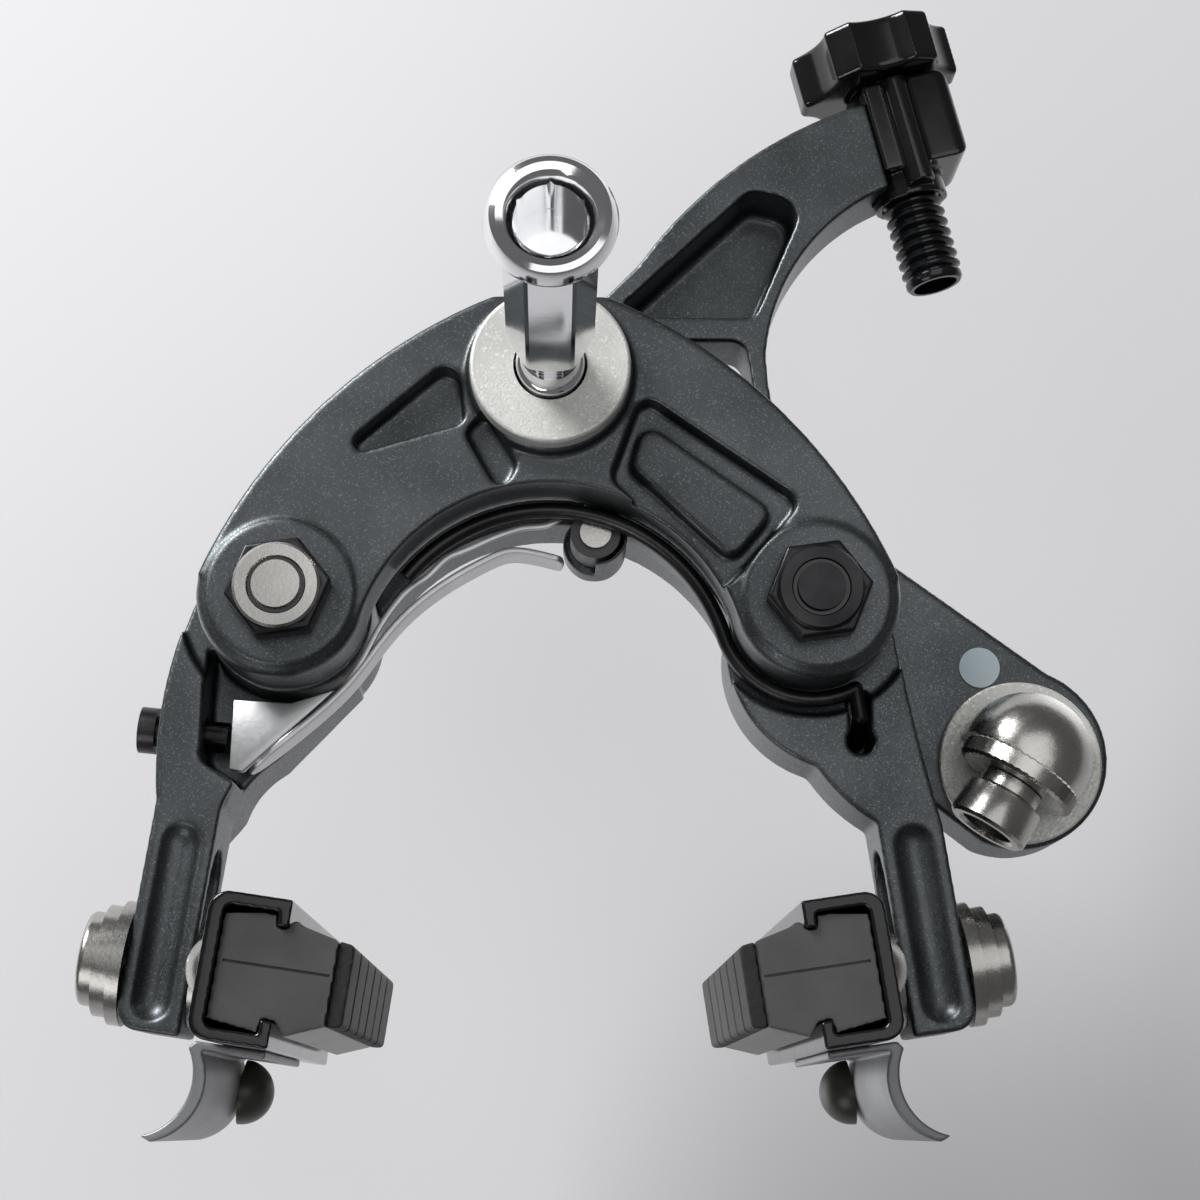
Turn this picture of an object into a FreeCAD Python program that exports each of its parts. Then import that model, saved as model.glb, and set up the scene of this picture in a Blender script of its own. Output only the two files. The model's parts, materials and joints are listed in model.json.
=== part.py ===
import FreeCAD, Part
import math
import os
from FreeCAD import Vector

# Dual-pivot rim brake caliper, seen from its fork side.
# Millimetres. +X is the viewer's right, +Z is up, +Y points away from the fork.
# The origin is the centre of the mounting washer's rear face, on the mounting bolt's axis.

# ---- driving dimensions ----------------------------------------------------
PIVOT_X = 24.8            # each arm's pivot, left and right of the mounting bolt
PIVOT_Z = -21.0
SHOE_Y = 14.4             # depth of the shoe bolts behind the fork face

WASHER_R = 7.5
WASHER_T = 2.0
BRIDGE_BACK = 3.4         # rear face of the bridge's arch
BRIDGE_FRONT = 10.4
ARM_BACK = 11.0           # the right arm and the left arm's root share this layer
ARM_FRONT = 19.0
BRANCH_BACK = 19.6        # the left arm's branch crosses over in its own layer
BRANCH_FRONT = 28.0
BOSS_R = 7.8              # pivot bosses
PIVOT_SHAFT_R = 2.95
BUSH_R = 4.0
RUNNING_GAP = 0.03        # radial clearance of a pin that turns

ARCH_R = 18.3             # tyre arch under the bridge
ARCH_Z = -28.7

BOLT_R = 2.95             # M6 mounting bolt
NUT_LENGTH = 29.5
NUT_END_Y = -38.0
HUB_X = 46.0              # quick-release hub on the left arm's branch
HUB_Z = -34.3
CLAMP_ANGLE = math.radians(237.0)   # direction the cable clamp bolt points, in the XZ plane
ADJUSTER_TILT = 14.0      # degrees the cable adjuster leans, its foot towards +X
ADJUSTER_SEAT = Vector(33.4, 15.0, 33.6)   # centre of the knob's underside
PAD_REAR_Y = -12.0
PAD_FRONT_Y = 42.0
SHOE_BOLT_R = 2.9
FIXING_Y = -5.0
ADJUSTER_R = 3.0
HOUSING_SEAT_R = 2.55
CLAMP_Y = 12.4            # depth of the cable clamp bolt
SHOE_TILT = 8.5           # degrees the shoes and the feet of the legs lean
HOLDER_X = 28.9           # back of a shoe holder on the shoe bolt's axis, left or right
HOLDER_Z = -55.7
SHOE_TRAVEL = 8.5         # height adjustment in the legs' slots
LEG_INNER = 3.8           # leg faces, measured outwards from the holder's back
LEG_OUTER = 9.9
LEG_BACK = 9.8
ROLLER_X = 4.4
ROLLER_Z = -13.4
ROLLER_FRONT = 15.4
BOLT_HEAD_R = 5.0
SCREW_Y = 14.0
LEVER_FRONT = 16.2
SPRING_HOOK = (29.3, -33.6)

LEFT = -1
RIGHT = 1


# ---- helpers ---------------------------------------------------------------
def at(x, z, y=0.0):
    return Vector(x, y, z)


def outline(start, *steps):
    """Closed wire in the XZ plane. A step is (x, z), or ((x, z), (x, z)): an arc's middle and end."""
    edges = []
    here = at(*start)
    for step in steps + (start,):
        if isinstance(step[0], tuple):
            end = at(*step[1])
            edges.append(Part.Arc(here, at(*step[0]), end).toShape())
        else:
            end = at(*step)
            if here.distanceToPoint(end) < 1e-6:
                continue
            edges.append(Part.makeLine(here, end))
        here = end
    return Part.Wire(edges)


def rounded(corners):
    """Closed wire in the XZ plane through (x, z, radius) corners, each rounded by a tangent arc."""
    edges = []
    count = len(corners)
    starts, ends, middles = [], [], []
    for i, (x, z, radius) in enumerate(corners):
        here = at(x, z)
        back = at(*corners[i - 1][:2]).sub(here).normalize()
        ahead = at(*corners[(i + 1) % count][:2]).sub(here).normalize()
        half = back.getAngle(ahead) / 2
        reach = radius / math.tan(half)
        starts.append(here.add(Vector(back).multiply(reach)))
        ends.append(here.add(Vector(ahead).multiply(reach)))
        middle = back.add(ahead).normalize()
        middles.append(here.add(middle.multiply(radius / math.sin(half) - radius)))
    for i in range(count):
        if corners[i][2] > 0:
            edges.append(Part.Arc(starts[i], middles[i], ends[i]).toShape())
        following = starts[(i + 1) % count]
        if ends[i].distanceToPoint(following) > 1e-6:
            edges.append(Part.makeLine(ends[i], following))
    return Part.Wire(edges)


def plate(wire, y0, y1):
    """Wire in the XZ plane, filled and raised from depth y0 to depth y1."""
    face = Part.Face(wire)
    face.translate(Vector(0, y0, 0))
    return face.extrude(Vector(0, y1 - y0, 0))


def cyl(radius, y0, y1, x=0.0, z=0.0):
    """Cylinder along Y."""
    return Part.makeCylinder(radius, y1 - y0, Vector(x, y0, z), Vector(0, 1, 0))


def rod(radius, start, end):
    """Cylinder between two points."""
    return Part.makeCylinder(radius, end.sub(start).Length, start, end.sub(start))


def box(x0, x1, y0, y1, z0, z1):
    return Part.makeBox(x1 - x0, y1 - y0, z1 - z0, Vector(x0, y0, z0))


def hexagon(across_flats, start, direction, height):
    """Six-sided prism from start along direction."""
    radius = across_flats / math.sqrt(3)
    points = [Vector(radius * math.cos(math.radians(60 * i)), radius * math.sin(math.radians(60 * i)), 0)
              for i in range(6)]
    prism = Part.Face(Part.makePolygon(points + points[:1])).extrude(Vector(0, 0, height))
    prism.Placement = FreeCAD.Placement(start, FreeCAD.Rotation(Vector(0, 0, 1), direction))
    return prism


def edges_at(solid, y):
    """Edges that lie wholly in the plane at depth y."""
    return [e for e in solid.Edges if abs(e.BoundBox.YMin - y) < 1e-4 and abs(e.BoundBox.YMax - y) < 1e-4]


def softened(solid, radius, *depths):
    """Round the edges of a plate's faces at the given depths."""
    return solid.makeFillet(radius, [e for y in depths for e in edges_at(solid, y)])


def fused(*solids):
    whole = solids[0].fuse(list(solids[1:])) if len(solids) > 1 else solids[0]
    return whole.removeSplitter()


def cut(solid, *tools):
    return solid.cut(list(tools))


def save(node, *solids):
    shape = solids[0] if len(solids) == 1 else Part.makeCompound(list(solids))
    if len(solids) == 1 and shape.ShapeType != "Solid" and len(shape.Solids) == 1:
        shape = shape.Solids[0]
    if not shape.isValid():
        print("NOT VALID", node)
    if shape.ShapeType == "Compound" and len(shape.Solids) != len(solids):
        print("SPLIT", node, len(shape.Solids))
    shape.exportStep("parts/" + node + ".step")
    return shape


# ---- bridge, mounting bolt and pivot hardware --------------------------------
def bridge():
    """Forged back plate: an arch between the two pivot bosses, with a centre boss."""
    side_x, side_z = 32.5, -19.4
    band = outline(
        (-5.4, 7.9),
        (5.4, 7.9), ((21.4, -2.9), (side_x, side_z)),
        (PIVOT_X, PIVOT_Z), (17.5, -23.4),
        ((0.0, ARCH_Z + ARCH_R), (-17.5, -23.4)),
        (-PIVOT_X, PIVOT_Z), (-side_x, side_z),
        ((-21.4, -2.9), (-5.4, 7.9)),
    )
    arch = plate(band, BRIDGE_BACK, BRIDGE_FRONT)
    bosses = [softened(cyl(BOSS_R, BRIDGE_BACK, BRIDGE_FRONT, x, PIVOT_Z), 1.0, BRIDGE_BACK)
              for x in (-PIVOT_X, PIVOT_X)]
    body = fused(arch, cyl(8.2, BRIDGE_BACK, BRIDGE_FRONT), *bosses)
    for x in (-PIVOT_X, PIVOT_X):
        body = fused(body, softened(cyl(6.9, 3.0, BRIDGE_BACK + 2, x, PIVOT_Z), 0.3, 3.0))
    body = fused(body, softened(cyl(WASHER_R + 0.3, WASHER_T, BRIDGE_BACK + 3), 0.4, WASHER_T))
    left_hollow = rounded([(-21.2, -8.6, 0.9), (-8.6, 2.4, 1.6), (-8.0, -4.6, 1.0)])
    left_step = rounded([(-6.2, -3.4, 0.8), (-3.0, -8.6, 1.2), (-4.6, -11.6, 1.0), (-8.0, -5.6, 1.0)])
    right_groove = rounded([(8.6, -1.6, 1.4), (23.6, -12.0, 1.4), (16.2, -20.6, 1.2), (5.6, -9.8, 1.4)])
    right_pad = rounded([(8.8, -4.4, 1.3), (20.9, -13.0, 1.3), (17.0, -17.6, 1.2), (7.6, -8.8, 1.3)])
    groove = plate(right_groove, 0, 5.6).cut(plate(right_pad, 0, 5.6))
    body = cut(body, plate(left_hollow, 0, 6.2), plate(left_step, 0, 5.0), groove)
    holes = [cyl(BOLT_R + 0.1, 0, 20)]
    holes += [cyl(PIVOT_SHAFT_R, 0, 20, x, PIVOT_Z) for x in (-PIVOT_X, PIVOT_X)]
    return cut(body, *holes)


def mounting_washer():
    """Flat washer with a knurled face that bears on the fork."""
    disc = cyl(WASHER_R, 0, WASHER_T)
    return cut(softened(disc, 0.35, 0.0), cyl(3.45, -1, 5))


def mounting_bolt():
    """M6 bolt from a cap head in front of the bridge back through the fork."""
    shank = cyl(BOLT_R, -17.0, 11.0)
    collar = cyl(3.2, -1.2, 0.6)
    head = softened(cyl(5.0, BRIDGE_FRONT, 15.4), 0.6, 15.4)
    socket = hexagon(5.0, Vector(0, 12.6, 0), Vector(0, 1, 0), 4)
    tip = Part.makeCone(1.6, BOLT_R, 1.2, Vector(0, -17.0, 0), Vector(0, 1, 0))
    body = cut(fused(shank, collar, head), socket)
    ring = cyl(BOLT_R + 1, -17.0, -15.8).cut(tip)
    return cut(body, ring)


def recessed_nut():
    """Long sleeve nut that the fork swallows, with a flanged socket head."""
    thread_end = NUT_END_Y + NUT_LENGTH
    sleeve = cyl(3.95, NUT_END_Y + 2.0, thread_end)
    head = cyl(5.4, NUT_END_Y, NUT_END_Y + 3.6)
    head = softened(head, 0.9, NUT_END_Y, NUT_END_Y + 3.6)
    socket = hexagon(5.0, Vector(0, NUT_END_Y - 1, 0), Vector(0, 1, 0), 7.5)
    mouth = Part.makeCone(3.6, 2.7, 1.2, Vector(0, NUT_END_Y, 0), Vector(0, 1, 0))
    bore = cyl(BOLT_R, NUT_END_Y + 6, 0)
    return cut(fused(sleeve, head), socket, mouth, bore)


def pivot_bolt(x, head_back, head_front):
    """Shouldered pivot with a socket head in front; its tail takes the lock nut."""
    shaft = cyl(PIVOT_SHAFT_R, 0.4, head_back, x, PIVOT_Z)
    tail = cyl(2.2, -0.4, 0.4, x, PIVOT_Z)
    head = cyl(4.7, head_back, head_front, x, PIVOT_Z)
    head = softened(head, 0.5, head_front)
    socket = hexagon(4.0, Vector(x, head_front - 1.8, PIVOT_Z), Vector(0, 1, 0), 4)
    return cut(fused(shaft, tail, head), socket)


def pivot_nut(x):
    """Hexagon lock nut with a turned collar round the bolt's tail."""
    nut = hexagon(8.0, Vector(x, 0.6, PIVOT_Z), Vector(0, 1, 0), 2.4)
    collar = softened(cyl(3.95, 0.0, 0.8, x, PIVOT_Z), 0.25, 0.0)
    return cut(fused(nut, collar), cyl(PIVOT_SHAFT_R, -1, 5, x, PIVOT_Z))


def thrust_washer(x, y0, y1):
    return cut(cyl(6.4, y0, y1, x, PIVOT_Z), cyl(PIVOT_SHAFT_R, y0 - 1, y1 + 1, x, PIVOT_Z))


# ---- arms ------------------------------------------------------------------
def leg_point(side, u, v):
    """Point in a shoe's own frame: u runs from the holder's back towards the rim, v up the leg."""
    a = math.radians(SHOE_TILT)
    x = -HOLDER_X + u * math.cos(a) + v * math.sin(a)
    return (x * -side, HOLDER_Z - u * math.sin(a) + v * math.cos(a))


def in_shoe_frame(solid, side):
    """Move a solid drawn with u along +X and v along +Z into the left or right shoe's place."""
    a = math.radians(SHOE_TILT)
    placed = solid.copy()
    placed.rotate(Vector(0, 0, 0), Vector(0, 1, 0), math.degrees(a))
    placed.translate(Vector(-HOLDER_X, 0, HOLDER_Z))
    if side == RIGHT:
        placed = placed.mirror(Vector(0, 0, 0), Vector(1, 0, 0))
    return placed


def shoe_slot(side):
    """Through slot across the leg that lets the shoe bolt move up and down."""
    low = rod(3.15, Vector(-15, SHOE_Y, 0), Vector(2, SHOE_Y, 0))
    high = rod(3.15, Vector(-15, SHOE_Y, SHOE_TRAVEL), Vector(2, SHOE_Y, SHOE_TRAVEL))
    between = box(-15, 2, SHOE_Y - 3.15, SHOE_Y + 3.15, 0, SHOE_TRAVEL)
    return in_shoe_frame(fused(low, high, between), side)


def leg_scallop(side):
    """Shallow round-ended groove down the rear face of the leg."""
    top = Vector(-6.9, LEG_BACK - 1.2, 11.5)
    foot = Vector(-6.9, LEG_BACK - 1.2, -3.2)
    groove = fused(rod(2.2, top, foot), Part.makeSphere(2.2, top), Part.makeSphere(2.2, foot))
    return in_shoe_frame(groove, side)


def right_leg():
    return outline(
        (32.5, -19.6),
        ((33.9, -29.0), leg_point(RIGHT, -LEG_OUTER, 13.0)), leg_point(RIGHT, -LEG_OUTER, -4.0),
        (leg_point(RIGHT, -LEG_OUTER + 0.7, -5.5), leg_point(RIGHT, -LEG_OUTER + 2.2, -6.0)),
        leg_point(RIGHT, -LEG_INNER, -6.0), leg_point(RIGHT, -LEG_INNER, 14.0),
        ((28.2, -39.6), (25.0, -36.0)), ((18.8, -31.4), (17.2, -22.0)),
        (PIVOT_X, -19.0),
    )


def right_arm():
    """Arm on the right pivot: shoe leg below, windowed upper arm out to the adjuster, roller horn."""
    upper = outline(
        (4.6, 9.6),
        (8.9, 14.2), ((20.3, 25.6), (33.0, 31.6)),
        (34.9, 22.8), ((25.2, 15.6), (21.1, 5.2)),
        ((22.4, -3.2), (26.6, -10.6)),
        (32.5, -19.6), (17.2, -22.0), ((12.2, -15.6), (5.2, -11.2)),
        (3.6, -9.4), (8.6, -7.4), ((9.8, 0.0), (7.4, 5.0)),
    )
    body = fused(plate(upper, ARM_BACK, ARM_FRONT), cyl(3.1, ARM_BACK, ARM_FRONT, ROLLER_X, ROLLER_Z),
                 cyl(BOSS_R, ARM_BACK, ARM_FRONT, PIVOT_X, PIVOT_Z), plate(right_leg(), ARM_BACK, ARM_FRONT))
    thick_leg = plate(right_leg(), LEG_BACK, ARM_FRONT)
    body = fused(body, cut(thick_leg, cyl(10.2, 0, 40, PIVOT_X, PIVOT_Z)))
    window = rounded([(6.6, 9.3, 0.8), (19.7, 21.7, 1.6), (25.2, 20.6, 2.4), (20.0, 8.4, 1.4), (8.4, 8.4, 0.5)])
    hollow = softened(plate(window, ARM_BACK - 3, ARM_FRONT - 1.6), 0.8, ARM_FRONT - 1.6)
    lower_window = rounded([(11.0, 6.0, 1.0), (19.0, 6.0, 1.6), (20.0, -0.6, 2.0), (23.4, -8.0, 0.8),
                            (12.4, -8.0, 1.4)])
    body = cut(body, hollow, plate(lower_window, ARM_BACK - 3, ARM_FRONT + 3))
    spring_hole = fused(cyl(1.3, LEG_BACK - 1, ARM_BACK + 4, *SPRING_HOOK),
                        box(SPRING_HOOK[0] - 0.95, SPRING_HOOK[0] + 0.95, LEG_BACK - 1, ARM_BACK + 4,
                            SPRING_HOOK[1], SPRING_HOOK[1] + 4.8))
    body = cut(body, shoe_slot(RIGHT), leg_scallop(RIGHT), spring_hole)
    body = cut(body, cyl(2.8, ARM_BACK - 1, ROLLER_FRONT + 0.3, ROLLER_X, ROLLER_Z),
               box(-2, ROLLER_X, ARM_BACK - 1, ROLLER_FRONT + 0.3, -20, ROLLER_Z + 2.8),
               cyl(1.0, 0, 30, ROLLER_X, ROLLER_Z))
    body = cut(body, adjuster_seat(), cyl(4.95, ARM_FRONT - 2.4, 30, PIVOT_X, PIVOT_Z))
    return cut(body, cyl(BUSH_R, 0, 30, PIVOT_X, PIVOT_Z), cyl(BOLT_HEAD_R + 2.4, 0, 30))


def left_arm():
    """Arm on the left pivot: shoe leg below, branch across the front to the cable anchor."""
    leg = outline(
        (-32.5, -18.0),
        ((-35.7, -27.0), leg_point(LEFT, -LEG_OUTER, 15.0)), leg_point(LEFT, -LEG_OUTER, -4.0),
        (leg_point(LEFT, -LEG_OUTER + 0.7, -5.5), leg_point(LEFT, -LEG_OUTER + 2.2, -6.0)),
        leg_point(LEFT, -LEG_INNER, -6.0), leg_point(LEFT, -LEG_INNER, 15.0),
        ((-29.0, -37.4), (-26.0, -34.6)), (-18.6, -26.8), (-PIVOT_X, -15.0),
    )
    haunch = outline(
        (-32.5, -18.0),
        ((-35.7, -27.0), leg_point(LEFT, -LEG_OUTER, 15.0)), (-33.4, -43.6), (-30.0, -39.6),
        ((-29.0, -37.4), (-26.0, -34.6)), (-18.6, -26.8), (-PIVOT_X, -15.0),
    )
    branch = outline(
        (-29.8, -15.0),
        ((-19.6, -1.8), (-4.0, 4.0)), ((9.0, 3.6), (20.0, -4.0)), (49.2, -25.3),
        ((54.3, -36.6), (42.2, -42.0)),
        (35.2, -36.6), ((22.4, -30.4), (17.8, -22.0)), ((0.0, ARCH_Z + ARCH_R), (-17.8, -23.4)),
        (-21.0, -28.4),
    )
    root = cyl(BOSS_R + 0.2, ARM_BACK, BRANCH_FRONT, -PIVOT_X, PIVOT_Z)
    low = plate(leg, ARM_BACK, ARM_FRONT + 1.0)
    body = fused(root, low, plate(haunch, ARM_BACK, BRANCH_FRONT - 1.0), plate(branch, BRANCH_BACK, BRANCH_FRONT))
    thick_leg = plate(leg, LEG_BACK, ARM_FRONT)
    body = fused(body, cut(thick_leg, cyl(10.0, 0, 40, -PIVOT_X, PIVOT_Z)))
    pocket = rounded([(-32.2, -24.0, 1.2), (-32.6, -35.6, 1.4), (-28.0, -38.4, 0.8), (-10.0, -21.0, 0.8),
                      (-12.0, -13.0, 1.0), (-24.0, -20.0, 1.0)])
    kept_boss = cyl(BOSS_R + 0.2, 0, 40, -PIVOT_X, PIVOT_Z)
    body = cut(body, plate(pocket, LEG_BACK - 2, LEVER_FRONT + 0.5).cut(kept_boss))
    body = cut(body, shoe_slot(LEFT), leg_scallop(LEFT))
    body = cut(body, rod(1.55, at(-45, -31.6, SCREW_Y), at(-28, -33.2, SCREW_Y)))
    body = cut(body, cyl(3.0, 0, 40, HUB_X, HUB_Z))
    return cut(body, cyl(BUSH_R, 0, 40, -PIVOT_X, PIVOT_Z))


def pivot_bush(x, y0, y1):
    return cut(cyl(BUSH_R, y0, y1, x, PIVOT_Z), cyl(PIVOT_SHAFT_R + RUNNING_GAP, y0 - 1, y1 + 1, x, PIVOT_Z))


def centering_lever():
    """Pressed channel under the left pivot: its tail meets the centering screw, its wing the roller."""
    tail = rounded([(-29.8, -29.6, 0.6), (-30.0, -36.4, 0.3), (-28.6, -36.6, 0.3), (-20.0, -28.4, 0.3),
                    (-24.6, -30.0, 1.0)])
    spine = outline(
        (-29.0, -36.4),
        (-18.6, -27.6), ((-14.0, -20.9), (-8.0, -17.0)), ((-3.0, -15.9), (2.2, -16.7)),
        (2.3, -17.5), ((-3.0, -16.8), (-8.4, -17.9)), ((-13.7, -21.7), (-18.6, -28.6)),
        (-28.4, -37.2),
    )
    return fused(plate(tail, 11.6, 12.5), plate(spine, 11.6, LEVER_FRONT))


def centering_screw():
    """Small hex-socket screw through the left leg's outer wall; its tip sets the centering lever."""
    along = Vector(16, 0, -1.6).normalize()
    tip = at(-30.4, -32.97, SCREW_Y)
    start = tip.sub(Vector(along).multiply(6.9))
    back = start.sub(Vector(along).multiply(1.5))
    body = fused(rod(1.5, start, tip), rod(2.2, back, start.add(Vector(along).multiply(0.1))))
    return cut(body, hexagon(2.0, back.sub(Vector(along).multiply(0.1)), along, 1.3))


def roller():
    """Roller on the right arm's horn that the centering lever's wing bears on."""
    return cut(cyl(2.4, ARM_BACK + 0.3, ROLLER_FRONT, ROLLER_X, ROLLER_Z), cyl(1.04, 0, 30, ROLLER_X, ROLLER_Z))


def roller_pin():
    return fused(cyl(1.0, 10.7, ARM_FRONT - 0.4, ROLLER_X, ROLLER_Z), cyl(1.5, 10.7, 11.1, ROLLER_X, ROLLER_Z))


def return_spring():
    """Round wire hooked into the right leg, round the right boss and along under the arch."""
    wire = 0.75
    depth = 9.95
    centres = Vector(PIVOT_X, 0, PIVOT_Z - ARCH_Z)
    boss_run = 8.7
    arch_run = centres.Length - boss_run
    meet = at(PIVOT_X, PIVOT_Z, depth).sub(Vector(centres).normalize().multiply(boss_run))
    low = at(PIVOT_X, PIVOT_Z - boss_run, depth)
    a = math.radians(-62)
    start = at(PIVOT_X + boss_run * math.cos(a), PIVOT_Z + boss_run * math.sin(a), depth)
    b = math.radians(142)
    end = at(arch_run * math.cos(b), ARCH_Z + arch_run * math.sin(b), depth)
    path = Part.Wire([Part.Arc(start, low, meet).toShape(),
                      Part.Arc(meet, at(0, ARCH_Z + arch_run, depth), end).toShape()])
    tangent = Vector(-math.sin(a), 0, math.cos(a))
    ring = Part.Wire([Part.makeCircle(wire, start, tangent)])
    tube = path.makePipeShell([ring], True, True)
    bend = at(SPRING_HOOK[0], SPRING_HOOK[1] + 2.2, depth)
    foot = at(SPRING_HOOK[0], SPRING_HOOK[1] + 0.2, ARM_BACK + 3)
    hook = fused(Part.makeSphere(wire, start), rod(wire, start, bend), Part.makeSphere(wire, bend),
                 rod(wire, bend, foot))
    return fused(tube, hook)


# ---- cable adjuster ----------------------------------------------------------
def on_adjuster(solid):
    """Move a solid drawn about the Z axis, knob seat at zero, on to the tilted adjuster axis."""
    placed = solid.copy()
    placed.rotate(Vector(0, 0, 0), Vector(0, 1, 0), -ADJUSTER_TILT)
    placed.translate(ADJUSTER_SEAT)
    return placed


def upright(radius, z0, z1, x=0.0, y=0.0):
    return Part.makeCylinder(radius, z1 - z0, Vector(x, y, z0))


def adjuster_seat():
    """What the right arm's end gives up to the adjuster collar."""
    beyond = box(-2.6, 12, -12, 12, -20, 6)
    return on_adjuster(fused(beyond, upright(3.75, -20, 6), box(-14, 12, -12, 12, -0.3, 6)))


def adjuster_collar():
    """Moulded collar on the arm's end with a bright rib down its rear and a block on its outside."""
    block = box(-2.6, 6.2, -4.6, 4.6, -9.6, -0.4)
    corners = [e for e in block.Edges if e.BoundBox.XMin > 6.1]
    block = block.makeFillet(1.4, corners)
    sleeve = upright(3.7, -12.2, -0.4)
    rib = fused(upright(1.3, -11.6, -0.4, 0.6, -4.4), box(-0.7, 1.9, -4.4, 0, -11.6, -0.4))
    return on_adjuster(cut(fused(block, sleeve, rib), upright(ADJUSTER_R + RUNNING_GAP, -20, 5)))


def adjuster_knob():
    """Six-lobed star knob that draws the hollow bolt up and down."""
    lobes, high, low, height = 6, 8.2, 6.9, 5.4
    steps = []
    for i in range(lobes):
        here = math.radians(360 / lobes * i)
        for turn, radius in ((-10, high), (10, high), (30, low)):
            a = here + math.radians(turn)
            steps.append((radius * math.cos(a), radius * math.sin(a)))
    edges = []
    for i in range(lobes):
        first, second, dip = (Vector(x, y, 0) for x, y in steps[3 * i:3 * i + 3])
        following = Vector(*steps[(3 * i + 3) % len(steps)], 0)
        edges.append(Part.makeLine(first, second))
        edges.append(Part.Arc(second, dip, following).toShape())
    star = Part.Face(Part.Wire(edges)).extrude(Vector(0, 0, height))
    rims = [e for e in star.Edges if e.BoundBox.ZMax - e.BoundBox.ZMin < 1e-6]
    star = star.makeFillet(0.5, rims)
    recess = upright(4.6, height - 1.2, height + 1)
    return on_adjuster(cut(star, upright(ADJUSTER_R + RUNNING_GAP, -5, 20), recess))


def adjuster_bolt():
    """Hollow threaded bolt: the cable housing seats in its top, the wire leaves through its foot."""
    shaft = fused(upright(ADJUSTER_R, -18.6, 3.6), upright(ADJUSTER_R - 0.15, -21.0, -18.6))
    return on_adjuster(cut(shaft, upright(2.2, -22, 5), upright(HOUSING_SEAT_R, -4.4, 5)))


# ---- quick release and cable anchor -------------------------------------------
def clamp_axis():
    return Vector(math.cos(CLAMP_ANGLE), 0, math.sin(CLAMP_ANGLE))


def clamp_point(distance):
    return at(HUB_X, HUB_Z, CLAMP_Y).add(clamp_axis().multiply(distance))


def anchor_disc():
    return cut(softened(cyl(7.95, 18.7, BRANCH_BACK, HUB_X, HUB_Z), 0.2, 18.7), cyl(3.0, 0, 40, HUB_X, HUB_Z))


def quick_release_hub():
    """Eccentric shaft through the branch with a domed rear head, cut flat for the cable clamp."""
    head = softened(cyl(6.3, 9.4, 18.6, HUB_X, HUB_Z), 2.6, 9.4)
    flat = Part.makeBox(30, 40, 30, Vector(-15, -20, 0))
    flat.Placement = FreeCAD.Placement(clamp_point(1.2), FreeCAD.Rotation(Vector(0, 0, 1), clamp_axis()))
    flat = flat.common(box(HUB_X - 30, HUB_X + 30, 0, 18.6, HUB_Z - 30, HUB_Z + 30))
    shaft = cyl(2.95, 18.6, 31.4, HUB_X, HUB_Z)
    bore = rod(2.5, clamp_point(-3.9), clamp_point(12))
    return cut(fused(cut(head, flat), shaft), bore)


def clamp_washer():
    """Knurled clamp washer with a tab that stops it turning."""
    disc = rod(5.9, clamp_point(1.7), clamp_point(3.6))
    return cut(disc, rod(2.5, clamp_point(0), clamp_point(12)))


def clamp_bolt():
    shank = rod(2.45, clamp_point(-1.8), clamp_point(4.0))
    neck = rod(3.0, clamp_point(3.62), clamp_point(5.2))
    head = rod(3.9, clamp_point(5.2), clamp_point(8.8))
    return cut(fused(shank, neck, head), hexagon(5.0, clamp_point(6.4), clamp_axis(), 4))


def quick_release_lever():
    """Hand lever on the hub's front end, lying along the branch when shut."""
    along = Vector(PIVOT_X - HUB_X, 0, PIVOT_Z - HUB_Z).normalize()
    across = Vector(-along.z, 0, along.x)
    corners = []
    for reach, side, radius in ((-5.6, -5.2, 4.4), (18.0, -2.8, 2.2), (19.0, 2.8, 2.2), (-5.6, 5.2, 4.4)):
        corner = Vector(HUB_X, 0, HUB_Z).add(Vector(along).multiply(reach)).add(Vector(across).multiply(side))
        corners.append((corner.x, corner.z, radius))
    body = softened(plate(rounded(corners), BRANCH_FRONT + 0.4, 31.4), 0.9, 31.4)
    return cut(body, cyl(3.0, 0, 40, HUB_X, HUB_Z))


def retaining_ring():
    return cut(cyl(4.6, 31.4, 32.2, HUB_X, HUB_Z), cyl(2.95, 0, 40, HUB_X, HUB_Z))


# ---- brake shoes ---------------------------------------------------------------
def shoe_holder(side):
    """Channel that the pad slides into from the rear, closed at its front end."""
    section = outline(
        (0, -4.4),
        (0, 4.4), ((0.5, 5.7), (1.8, 6.2)), (6.9, 6.2), (6.9, 3.9), (5.9, 3.9), (5.9, 5.1),
        (1.9, 5.1), ((1.5, 4.9), (1.3, 4.5)), (1.3, -4.5), ((1.5, -4.9), (1.9, -5.1)),
        (5.9, -5.1), (5.9, -3.9), (6.9, -3.9), (6.9, -6.2), (1.8, -6.2), ((0.5, -5.7), (0, -4.4)),
    )
    end_wall = rounded([(0.6, -5.8, 1.5), (0.6, 5.8, 1.5), (6.9, 5.8, 0.8), (6.9, -5.8, 0.8)])
    body = fused(plate(section, PAD_REAR_Y, PAD_FRONT_Y), plate(end_wall, PAD_FRONT_Y - 1.3, PAD_FRONT_Y))
    body = cut(body, rod(SHOE_BOLT_R, Vector(-1, SHOE_Y, 0), Vector(3, SHOE_Y, 0)),
               rod(1.5, Vector(-1, FIXING_Y, 0), Vector(3, FIXING_Y, 0)))
    return in_shoe_frame(body, side)


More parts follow.
